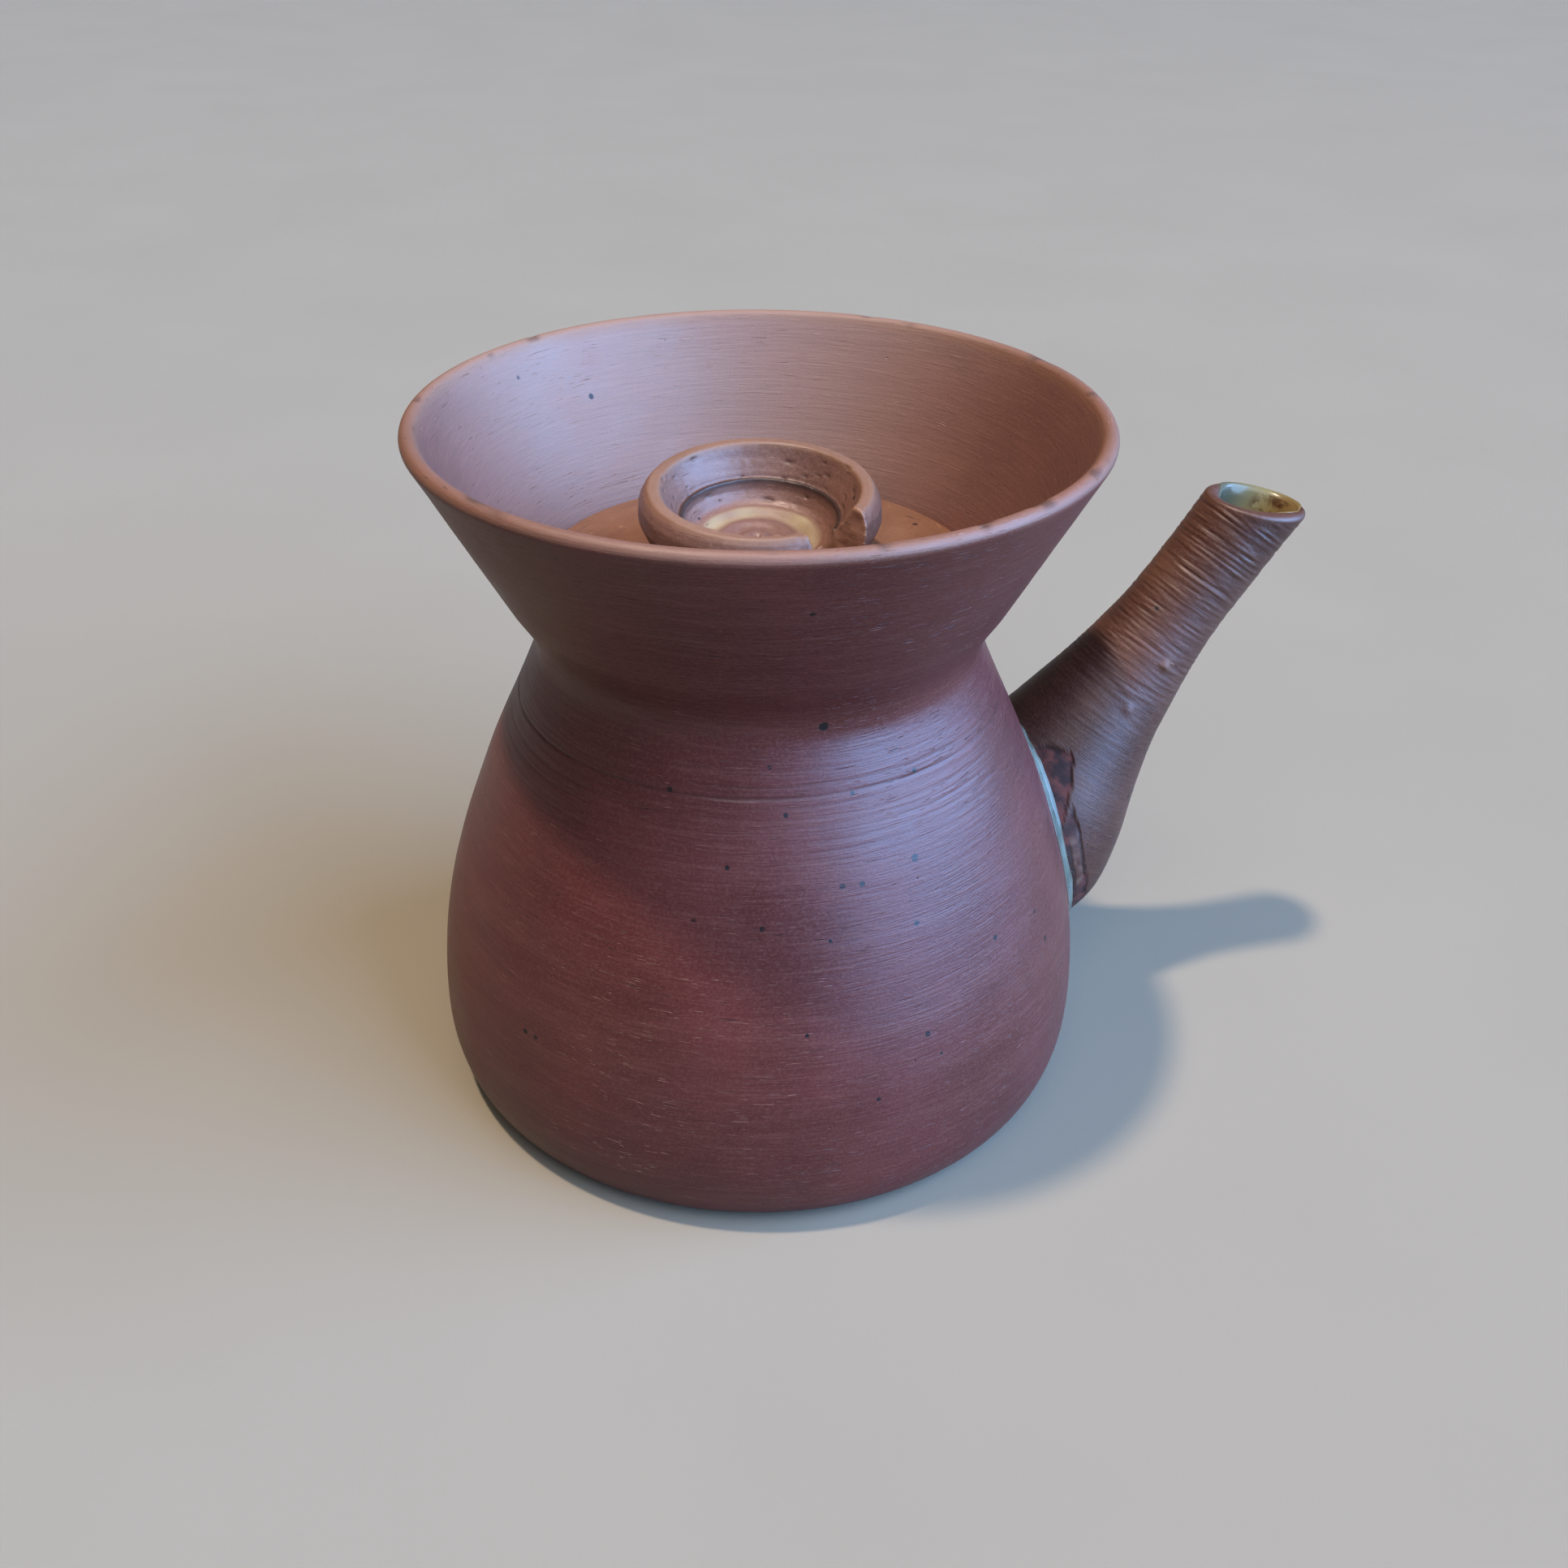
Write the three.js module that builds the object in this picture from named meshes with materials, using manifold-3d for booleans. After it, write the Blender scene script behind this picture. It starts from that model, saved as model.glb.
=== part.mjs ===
// A hand-thrown stoneware sake server: a pear-shaped pot with a funnel mouth, a luted spout that is
// glazed inside, and a loose drop-in lid with a cup-shaped, notched knob.
// Millimetres, +Z up. The origin is the centre of the flat base, and the spout points along +X.
import * as THREE from "three";
import { mergeVertices } from "three/addons/utils/BufferGeometryUtils.js";
import Module from "manifold-3d";

const wasm = await Module();
wasm.setup();

// ---- driving dimensions ----

const HEIGHT = 123.5; // base to the top of the lip
const MOUTH_RADIUS = 57; // outside of the lip
const LIP_RADIUS = 1.4; // the lip is a round bead of twice this thickness
const FUNNEL_LEAN = 29; // degrees that the funnel's wall leans from upright
const BELLY_RADIUS = 60; // the widest place, low on the pot
const BELLY_HEIGHT = 14;
const BASE_RADIUS = 52; // flat face that the pot stands on
const NECK_RADIUS = 38.6; // outside of the narrowest place
const NECK_HEIGHT = 86;
const FLOOR = 5; // thickness of the pot's floor
const SEAT_HEIGHT = 91.6; // ledge inside the neck that the lid rests on
const SEAT_RADIUS = 36.9; // outer edge of the ledge
const BORE_RADIUS = 33.2; // clear opening of the neck

const GAP = 0.3; // between pieces that touch
const GLAZE = 0.5; // thickness of the glaze linings

const SPOUT_ROOT = 52.6; // distance of the spout's root from the pot's axis
const SPOUT_ROOT_HEIGHT = 36;
const SPOUT_TILT = 54.5; // degrees above level
const SPOUT_LENGTH = 74.8; // along its axis, from the root to the mouth
const SPOUT_SAG = 2.4; // how far the root droops off the straight axis
const SAG_END = 30; // distance from the root where the droop has died away
const SPOUT_MOUTH_TILT = 12.7; // degrees that the cut mouth dips outwards
const SPOUT_WALL = 2.3;
const SPOUT_HOLE_RADIUS = 9; // hole through the pot's wall behind the spout
const SPOUT_HOLE_HEIGHT = 40;
const SEAM_WIDTH = 4; // of the glaze round the spout's joint
const SEAM_THICKNESS = 0.9;

const PLATE_RADIUS = 37.7; // the lid's flat disc
const PLATE_BOTTOM = SEAT_HEIGHT + GAP;
const PLATE_TOP = 97.2;
const FLANGE_RADIUS = 32.3; // the ring under the disc that keeps it centred
const FLANGE_WALL = 3.5;
const FLANGE_DEPTH = 7.6;

const KNOB_BOTTOM = PLATE_TOP + GAP;
const KNOB_TOP = 110.9;
const KNOB_RADIUS = 20.2; // widest place, below the bevel
const KNOB_FLOOR = 101.5; // floor of the cup
const KNOB_LEAN = 4.5; // degrees that the hand-made knob leans out of true
const LEAN_ANGLE = -105; // the side it leans to, in degrees from the spout about +Z
const NOTCH_WIDTH = 11.5;
const NOTCH_ANGLE = -69; // the notch's middle, in degrees from the spout about +Z

const SIDES = 48; // facets round the pot and the lid
const SPOUT_SIDES = 32;
const OVERSIZE = 60; // length of the blocks that only cut

// ---- materials ----

const clay = new THREE.MeshStandardMaterial({ color: 0x5a3a36, roughness: 0.6, metalness: 0 });
const spoutClay = new THREE.MeshStandardMaterial({ color: 0x4c302c, roughness: 0.55, metalness: 0 });
const lidClay = new THREE.MeshStandardMaterial({ color: 0x6e463a, roughness: 0.65, metalness: 0 });
const celadon = new THREE.MeshStandardMaterial({ color: 0x9db3a4, roughness: 0.12, metalness: 0 });
const liner = new THREE.MeshStandardMaterial({ color: 0x8f9a6c, roughness: 0.15, metalness: 0 });

// ---- profiles, as points of radius and height ----

const point = (radius, height) => new THREE.Vector2(radius, height);
const spline = (points, steps) => new THREE.SplineCurve(points).getPoints(steps);

// Points along an arc about a centre, with the angle in degrees above the outward direction.
function arc(centre, radius, from, to, steps) {
  return Array.from({ length: steps + 1 }, (_, i) => {
    const angle = THREE.MathUtils.degToRad(from + ((to - from) * i) / steps);
    return point(centre.x + radius * Math.cos(angle), centre.y + radius * Math.sin(angle));
  });
}

// The outside of the pot from its foot up to the funnel, grown outwards by a margin.
function potOutside(margin) {
  const foot = [
    point(BASE_RADIUS, -margin),
    point(BASE_RADIUS + 4.6, 1.4 - margin),
    point(BELLY_RADIUS - 1.3 + margin, 4.4),
  ];
  const belly = spline(
    [
      foot[2],
      point(BELLY_RADIUS + margin, BELLY_HEIGHT - 3),
      point(BELLY_RADIUS - 0.4 + margin, 22),
      point(57.9 + margin, 33),
      point(54.3 + margin, 46),
      point(48.2 + margin, 62),
      point(42.3 + margin, 75),
      point(NECK_RADIUS + 0.5 + margin, 82.5),
      point(NECK_RADIUS + margin, NECK_HEIGHT),
      point(NECK_RADIUS + 1.1 + margin, 89.6),
      point(42.9 + margin, 95),
    ],
    18,
  );
  return [foot[0], foot[1], ...belly];
}

// The inside of the pot below the lid's seat, drawn inwards by a margin, from the neck down.
function potInside(margin) {
  const wall = spline(
    [
      point(BORE_RADIUS - margin, NECK_HEIGHT),
      point(35.2 - margin, 78.5),
      point(43.6 - margin, 62),
      point(50 - margin, 46),
      point(53.7 - margin, 33),
      point(55.6 - margin, 20),
      point(54.6 - margin, 11),
      point(48 - margin, FLOOR + 0.8 + margin),
    ],
    10,
  );
  return [...wall, point(38, FLOOR + margin)];
}

// ---- solids ----

// A closed body turned about the Z axis from a profile that runs from the axis back to the axis.
function turned(profile, sides) {
  return new THREE.LatheGeometry(profile, sides).rotateX(Math.PI / 2);
}

function toSolid(geometry) {
  const bare = new THREE.BufferGeometry();
  bare.setAttribute("position", geometry.toNonIndexed().getAttribute("position"));
  const merged = mergeVertices(bare, 1e-3);
  return new wasm.Manifold(
    new wasm.Mesh({
      numProp: 3,
      vertProperties: merged.getAttribute("position").array,
      triVerts: new Uint32Array(merged.index.array),
    }),
  );
}

function toGeometry(solid) {
  const mesh = solid.getMesh();
  const geometry = new THREE.BufferGeometry();
  geometry.setAttribute("position", new THREE.BufferAttribute(mesh.vertProperties, 3));
  geometry.setIndex(new THREE.BufferAttribute(mesh.triVerts, 1));
  geometry.computeVertexNormals();
  return geometry;
}

// The filled outline of the pot, grown by a margin: what its neighbours are cut with.
function filledPot(margin) {
  const rim = point(MOUTH_RADIUS + margin, HEIGHT);
  const profile = [point(0, -margin), ...potOutside(margin), rim, point(0, HEIGHT)];
  return toSolid(turned(profile, SIDES));
}

// A round bar along X through the wall behind the spout.
function spoutHole(radius) {
  const bar = new THREE.CylinderGeometry(radius, radius, OVERSIZE, 24).rotateZ(Math.PI / 2);
  return toSolid(bar.translate(SPOUT_ROOT, 0, SPOUT_HOLE_HEIGHT));
}

function potBody() {
  const lipCentre = point(MOUTH_RADIUS - LIP_RADIUS, HEIGHT - LIP_RADIUS);
  const outside = [
    ...potOutside(0),
    ...arc(lipCentre, LIP_RADIUS, -FUNNEL_LEAN, 180 - FUNNEL_LEAN, 8),
  ];
  const inside = [
    point(44.6, 104.4),
    point(SEAT_RADIUS, SEAT_HEIGHT),
    point(BORE_RADIUS, SEAT_HEIGHT),
    ...potInside(0),
  ];
  const profile = [point(0, 0), ...outside, ...inside, point(0, FLOOR)];
  return toGeometry(toSolid(turned(profile, SIDES)).subtract(spoutHole(SPOUT_HOLE_RADIUS)));
}

function bodyGlazeLining() {
  const outside = potInside(GAP);
  const inside = potInside(GAP + GLAZE);
  const profile = [
    point(0, FLOOR + GAP),
    ...outside.reverse(),
    ...inside,
    point(0, FLOOR + GAP + GLAZE),
  ];
  return toGeometry(toSolid(turned(profile, SIDES)).subtract(spoutHole(SPOUT_HOLE_RADIUS + GAP)));
}

// The spout is turned about its own axis: the outline gives its radius at distances from the root.
function spoutOutline(margin) {
  return spline(
    [
      point(13.5 + margin, -17),
      point(17.4 + margin, -9),
      point(19.2 + margin, -1),
      point(17.8 + margin, 9),
      point(14.2 + margin, 21),
      point(11 + margin, 34),
      point(8.9 + margin, 49),
      point(8.6 + margin, 62),
      point(9 + margin, SPOUT_LENGTH + 8),
    ],
    16,
  );
}

// Turns a shape that stands on the Z axis over to the spout's axis, with its root drooping.
function leaned(geometry) {
  const spots = geometry.getAttribute("position");
  for (let i = 0; i < spots.count; i++) {
    const share = Math.max(0, 1 - spots.getZ(i) / SAG_END);
    spots.setX(i, spots.getX(i) + SPOUT_SAG * share * share);
  }
  const lean = THREE.MathUtils.degToRad(90 - SPOUT_TILT);
  return geometry.rotateY(lean).translate(SPOUT_ROOT, 0, SPOUT_ROOT_HEIGHT);
}

function spoutSolid(margin) {
  const outline = spoutOutline(margin);
  const first = outline[0];
  const last = outline[outline.length - 1];
  const profile = [point(0, first.y), ...outline, point(0, last.y)];
  return toSolid(leaned(turned(profile, SPOUT_SIDES)));
}

// What lies beyond the slanting cut of the spout's mouth, with the cut lowered by a drop.
function beyondMouth(drop) {
  const block = new THREE.BoxGeometry(OVERSIZE, OVERSIZE, OVERSIZE);
  block.translate(0, 0, OVERSIZE / 2).rotateY(THREE.MathUtils.degToRad(SPOUT_MOUTH_TILT));
  const tilt = THREE.MathUtils.degToRad(SPOUT_TILT);
  const x = SPOUT_ROOT + SPOUT_LENGTH * Math.cos(tilt);
  const z = SPOUT_ROOT_HEIGHT + SPOUT_LENGTH * Math.sin(tilt);
  return toSolid(block.translate(x, 0, z - drop));
}

function spout() {
  const shell = spoutSolid(0).subtract(spoutSolid(-SPOUT_WALL));
  return toGeometry(shell.subtract(beyondMouth(0)).subtract(filledPot(GAP)));
}

function spoutGlazeLining() {
  const outer = spoutSolid(-SPOUT_WALL - GAP);
  const shell = outer.subtract(spoutSolid(-SPOUT_WALL - GAP - GLAZE));
  return toGeometry(shell.subtract(beyondMouth(GAP)).subtract(filledPot(2 * GAP)));
}

// A thin coat on the pot round the spout's joint.
function spoutSeamGlaze() {
  const coat = filledPot(GAP + SEAM_THICKNESS).subtract(filledPot(GAP));
  return toGeometry(coat.intersect(spoutSolid(SEAM_WIDTH)).subtract(spoutSolid(GAP)));
}

function lidPlate() {
  return turned(
    [
      point(0, PLATE_BOTTOM),
      point(PLATE_RADIUS - 1.5, PLATE_BOTTOM),
      point(PLATE_RADIUS, PLATE_TOP - 1.8),
      point(PLATE_RADIUS - 0.3, PLATE_TOP - 1.2),
      point(PLATE_RADIUS - 6, PLATE_TOP - 0.5),
      point(KNOB_RADIUS, PLATE_TOP),
      point(0, PLATE_TOP),
    ],
    SIDES,
  );
}

function lidFlange() {
  const top = PLATE_BOTTOM - GAP;
  const bottom = top - FLANGE_DEPTH;
  const inner = FLANGE_RADIUS - FLANGE_WALL;
  return turned(
    [
      point(inner, bottom),
      point(FLANGE_RADIUS - 0.8, bottom),
      point(FLANGE_RADIUS, bottom + 0.8),
      point(FLANGE_RADIUS, top),
      point(inner, top),
      point(inner, bottom),
    ],
    SIDES,
  );
}

// Leans a shape about the middle of the knob's foot.
function knobLeaned(geometry) {
  geometry.translate(0, 0, -KNOB_BOTTOM).rotateY(THREE.MathUtils.degToRad(KNOB_LEAN));
  return geometry.rotateZ(THREE.MathUtils.degToRad(LEAN_ANGLE)).translate(0, 0, KNOB_BOTTOM);
}

// The knob is turned true, leaned a little, notched, and cut flat where it meets the plate.
function lidKnob() {
  const footDepth = 3; // what the flat cut takes off the turned foot
  const outside = spline(
    [
      point(17.4, KNOB_BOTTOM - footDepth),
      point(17.6, KNOB_BOTTOM + 2.6),
      point(19.3, KNOB_BOTTOM + 6.4),
      point(KNOB_RADIUS, KNOB_BOTTOM + 8.8),
      point(19.7, KNOB_TOP - 2),
      point(18.7, KNOB_TOP - 0.3),
    ],
    9,
  );
  const cup = [
    point(18, KNOB_TOP),
    point(16.9, KNOB_TOP - 0.1),
    point(16.3, KNOB_TOP - 0.8),
    point(13.9, KNOB_TOP - 4.7),
    point(13, KNOB_TOP - 5.3),
    point(12.4, KNOB_FLOOR + 2.6),
    point(10.6, KNOB_FLOOR + 0.7),
    point(8, KNOB_FLOOR),
    point(0, KNOB_FLOOR + 0.4),
  ];
  const profile = [point(0, KNOB_BOTTOM - footDepth), ...outside, ...cup];
  const notch = new THREE.BoxGeometry(OVERSIZE, NOTCH_WIDTH, OVERSIZE);
  notch.translate(10 + OVERSIZE / 2, 0, KNOB_FLOOR + OVERSIZE / 2);
  notch.rotateZ(THREE.MathUtils.degToRad(NOTCH_ANGLE - LEAN_ANGLE));
  const under = new THREE.BoxGeometry(OVERSIZE, OVERSIZE, OVERSIZE);
  under.translate(0, 0, KNOB_BOTTOM - OVERSIZE / 2);
  const knob = toSolid(knobLeaned(turned(profile, SIDES)));
  return toGeometry(knob.subtract(toSolid(knobLeaned(notch))).subtract(toSolid(under)));
}

// ---- assembly ----

function piece(name, geometry, material) {
  const mesh = new THREE.Mesh(geometry, material);
  mesh.name = name;
  return mesh;
}

const pot = new THREE.Group();
pot.add(
  piece("pot_body", potBody(), clay),
  piece("body_glaze_lining", bodyGlazeLining(), liner),
  piece("spout", spout(), spoutClay),
  piece("spout_glaze_lining", spoutGlazeLining(), liner),
  piece("spout_seam_glaze", spoutSeamGlaze(), celadon),
);

const lid = new THREE.Group();
lid.add(
  piece("lid_plate", lidPlate(), lidClay),
  piece("lid_flange", lidFlange(), lidClay),
  piece("lid_knob", lidKnob(), lidClay),
);

const server = new THREE.Group();
server.add(pot, lid);

export default server;
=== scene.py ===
import itertools
import math

import bmesh
import bpy
import numpy as np
from mathutils import Matrix, Vector


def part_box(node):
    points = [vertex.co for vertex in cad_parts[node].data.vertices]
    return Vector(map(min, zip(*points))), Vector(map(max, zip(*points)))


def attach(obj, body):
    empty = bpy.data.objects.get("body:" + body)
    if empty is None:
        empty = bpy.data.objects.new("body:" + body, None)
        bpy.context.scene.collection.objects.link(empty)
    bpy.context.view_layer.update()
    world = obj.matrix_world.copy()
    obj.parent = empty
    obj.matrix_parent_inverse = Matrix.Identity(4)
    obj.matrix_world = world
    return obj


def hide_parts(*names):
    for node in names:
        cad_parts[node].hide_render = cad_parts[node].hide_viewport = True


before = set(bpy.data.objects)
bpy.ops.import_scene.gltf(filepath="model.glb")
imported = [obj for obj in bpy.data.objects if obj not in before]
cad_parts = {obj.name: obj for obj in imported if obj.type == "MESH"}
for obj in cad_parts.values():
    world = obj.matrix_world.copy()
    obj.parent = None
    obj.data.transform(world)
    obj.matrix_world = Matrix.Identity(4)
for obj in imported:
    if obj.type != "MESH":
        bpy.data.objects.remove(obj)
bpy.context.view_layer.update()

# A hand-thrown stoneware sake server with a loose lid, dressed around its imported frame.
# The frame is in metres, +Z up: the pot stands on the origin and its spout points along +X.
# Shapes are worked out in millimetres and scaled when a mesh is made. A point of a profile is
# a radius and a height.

MM = 0.001
TAU = 2 * math.pi


# ---- driving sizes, in millimetres, from the frame where it says them ----


def corner(node, which):
    """The lowest (0) or highest (1) corner of a CAD node, in millimetres."""
    return np.array(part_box(node)[which]) / MM


POT_HEIGHT = corner("pot_body", 1)[2]
MOUTH_RADIUS = 57
LIP_RADIUS = 1.4
LIP_CENTRE = np.array([MOUTH_RADIUS - LIP_RADIUS, POT_HEIGHT - LIP_RADIUS])
FUNNEL_LEAN = 29
SEAT_HEIGHT = corner("lid_flange", 1)[2]
POT_OUTSIDE = [
    (51, 0), (53.6, 0.3), (56.6, 1.6), (58.7, 4.4), (60, 11), (59.6, 22), (57.9, 33), (54.3, 46),
    (48.2, 62), (42.3, 75), (39.1, 82.5), (38.6, 86), (39.7, 89.6), (42.9, 95),
]
POT_FLOOR = 5
POT_INSIDE = [
    (33.2, 86), (35.2, 78.5), (43.6, 62), (50, 46), (53.7, 33), (55.6, 20), (54.6, 11), (48, POT_FLOOR + 0.8),
    (38, POT_FLOOR),
]
FLOOR_MIDDLE = [(20, POT_FLOOR), (0, POT_FLOOR)]
LINER_THICKNESS = 0.6

SPOUT_ROOT = np.array([52.6, 0, 36])
SPOUT_TILT = math.radians(54.5)
SPOUT_ALONG = np.array([math.cos(SPOUT_TILT), 0, math.sin(SPOUT_TILT)])
SPOUT_UNDER = np.array([math.sin(SPOUT_TILT), 0, -math.cos(SPOUT_TILT)])
SPOUT_LENGTH = 74.8
# The tube sags by this much at its root, and less and less up to the sag's end.
SPOUT_SAG, SAG_END = 2.4, 30
MOUTH_TILT = math.radians(12.7)
# Distance from the root along the spout, and radius.
SPOUT_OUTLINE = [
    (-17, 13.5), (-9, 17.4), (-1, 19.2), (9, 17.8), (21, 14.2), (34, 11), (49, 8.9), (62, 8.6), (82.8, 9),
]
SPOUT_WALL = 2.3
SPOUT_LIP = 1.0
SPOUT_GLAZE = 0.5
RING_PITCH = 1.15
HOLE_RADIUS, HOLE_HEIGHT = 9, 40

PLATE_LOW, PLATE_HIGH = corner("lid_plate", 0)[2], corner("lid_plate", 1)[2]
PLATE_RADIUS = corner("lid_plate", 1)[0]
FLANGE_LOW, FLANGE_RADIUS = corner("lid_flange", 0)[2], corner("lid_flange", 1)[0]
FLANGE_WALL = 3.5
KNOB_FOOT = PLATE_HIGH + 0.1
KNOB_TOP = 110.9
KNOB_FLOOR = 101.5
KNOB_LEAN = math.radians(4.5)
LEAN_ANGLE = math.radians(-105)
NOTCH_WIDTH = 11.5
NOTCH_FLOOR = KNOB_FLOOR + 0.2
NOTCH_ANGLE = math.radians(-67)

# The studio, in metres, but the lens in millimetres.
FLOOR_WIDTH = 60
LIGHTS_AIM = Vector((0, 0, 0.07))
CAMERA_PLACE = (-0.0732, -0.2394, 0.2105)
CAMERA_LENS, CAMERA_SENSOR = 36.97, 36


# ---- lines, noise and meshes ----


def smooth_line(points, steps=40):
    """Points along the smooth curve through the given ones, as the CAD outlines have."""
    p = np.array(points, float)
    ends = np.vstack([p[:1], p, p[-1:]])
    t = np.linspace(0, 1, steps, endpoint=False)[:, None]
    runs = []
    for before, a, b, after in zip(ends, ends[1:], ends[2:], ends[3:]):
        leave, arrive = (b - before) / 2, (after - a) / 2
        curve = (2 * a - 2 * b + leave + arrive) * t**3
        curve += (3 * b - 3 * a - 2 * leave - arrive) * t**2
        runs.append(curve + leave * t + a)
    return np.vstack([*runs, p[-1:]])


def respaced(line, spacing):
    """The line with its points a spacing apart, where spacing(point) may differ along it."""
    gaps = np.linalg.norm(np.diff(line, axis=0), axis=1)
    middles = (line[1:] + line[:-1]) / 2
    steps = np.cumsum([0, *(gaps / [spacing(middle) for middle in middles])])
    wanted = np.linspace(0, steps[-1], round(steps[-1]) + 1)
    return np.stack([np.interp(wanted, steps, column) for column in line.T], axis=1)


def arc(centre, radius, start, end, steps):
    """Points on an arc, with its angles in degrees above the outward direction."""
    angle = np.radians(np.linspace(start, end, steps))
    return np.array(centre) + radius * np.stack([np.cos(angle), np.sin(angle)], axis=1)


def cloud(points, size, seed):
    """Smooth random values from -1 to 1 at points, in cells of a size that may differ by axis."""
    cells = 32
    table = np.random.default_rng(seed).uniform(-1, 1, (cells, cells, cells))
    place = np.asarray(points) / np.broadcast_to(np.array(size, float), 3)
    low = np.floor(place).astype(int)
    part = place - low
    part = part * part * (3 - 2 * part)
    total = np.zeros(place.shape[:-1])
    for step in itertools.product((0, 1), repeat=3):
        share = np.prod(np.where(step, part, 1 - part), axis=-1)
        x, y, z = np.moveaxis((low + step) % cells, -1, 0)
        total += share * table[x, y, z]
    return total


def fade(value, low, high):
    """0 below low, 1 above high, and smooth between."""
    t = np.clip((value - low) / (high - low), 0, 1)
    return t * t * (3 - 2 * t)


def turned(profile, around):
    """Rows of points round the Z axis from a profile of radius and height, and their outward normals."""
    profile = np.asarray(profile, float)
    angle = np.linspace(0, TAU, around, endpoint=False)
    circle = np.stack([np.cos(angle), np.sin(angle), 0 * angle], axis=1)[None]
    up = np.array([0, 0, 1])
    step = np.gradient(profile, axis=0)
    step /= np.maximum(np.linalg.norm(step, axis=1, keepdims=True), 1e-9)
    rows = profile[:, :1, None] * circle + profile[:, 1:, None] * up
    normals = step[:, 1:, None] * circle - step[:, :1, None] * up
    return rows, normals


def grid_mesh(name, rows, closed=False, paints=None):
    """A smooth object from rows of points that run round it. closed joins the last row to the first."""
    count, around, _ = rows.shape
    i = np.arange(count if closed else count - 1)[:, None]
    j = np.arange(around)[None]
    low, high = i * around, (i + 1) % count * around
    after = (j + 1) % around
    faces = np.stack([low + j, low + after, high + after, high + j], axis=-1).reshape(-1, 4)
    mesh = bpy.data.meshes.new(name)
    mesh.from_pydata((rows.reshape(-1, 3) * MM).tolist(), [], faces.tolist())
    for paint, values in (paints or {}).items():
        add_paint(mesh, paint, np.broadcast_to(values, rows.shape[:2]).ravel())
    tidy = bmesh.new()
    tidy.from_mesh(mesh)
    bmesh.ops.remove_doubles(tidy, verts=tidy.verts, dist=1e-3 * MM)
    bmesh.ops.recalc_face_normals(tidy, faces=tidy.faces)
    tidy.to_mesh(mesh)
    tidy.free()
    piece = bpy.data.objects.new(name, mesh)
    bpy.context.scene.collection.objects.link(piece)
    return piece


def add_paint(mesh, name, values):
    """Stores one number for each vertex, which a material reads by name."""
    layer = mesh.attributes.new(name, "FLOAT", "POINT")
    layer.data.foreach_set("value", np.ascontiguousarray(values, np.float32))


def vertices(piece):
    spots = np.zeros(len(piece.data.vertices) * 3)
    piece.data.vertices.foreach_get("co", spots)
    return spots.reshape(-1, 3) / MM


def vertex_normals(piece):
    directions = np.zeros(len(piece.data.vertices) * 3, np.float32)
    piece.data.vertex_normals.foreach_get("vector", directions)
    return directions.reshape(-1, 3)


def move_vertices(piece, spots):
    piece.data.vertices.foreach_set("co", (spots * MM).ravel())
    piece.data.update()


def apply_modifier(piece, kind, **settings):
    """Adds a modifier, and keeps its result as the piece's mesh."""
    modifier = piece.modifiers.new(kind, kind)
    for key, value in settings.items():
        setattr(modifier, key, value)
    bpy.context.view_layer.update()
    graph = bpy.context.evaluated_depsgraph_get()
    mesh = bpy.data.meshes.new_from_object(piece.evaluated_get(graph))
    piece.modifiers.clear()
    piece.data = mesh


def cut(piece, cutter):
    apply_modifier(piece, "BOOLEAN", operation="DIFFERENCE", solver="MANIFOLD", object=cutter)
    bpy.data.objects.remove(cutter)


def finish_piece(piece, material, body, node, sharp=40):
    """Shades a piece, gives it its material, and ties it to the frame."""
    piece.data.polygons.foreach_set("use_smooth", [True] * len(piece.data.polygons))
    piece.data.set_sharp_from_angle(angle=math.radians(sharp))
    piece.data.materials.clear()
    piece.data.materials.append(material)
    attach(piece, body)
    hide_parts(node)


# ---- materials ----


def colour(code):
    """A linear colour from its usual six-digit code."""
    parts = [int(code[k : k + 2], 16) / 255 for k in (0, 2, 4)]
    return (*[((c + 0.055) / 1.055) ** 2.4 if c > 0.04045 else c / 12.92 for c in parts], 1)


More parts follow.
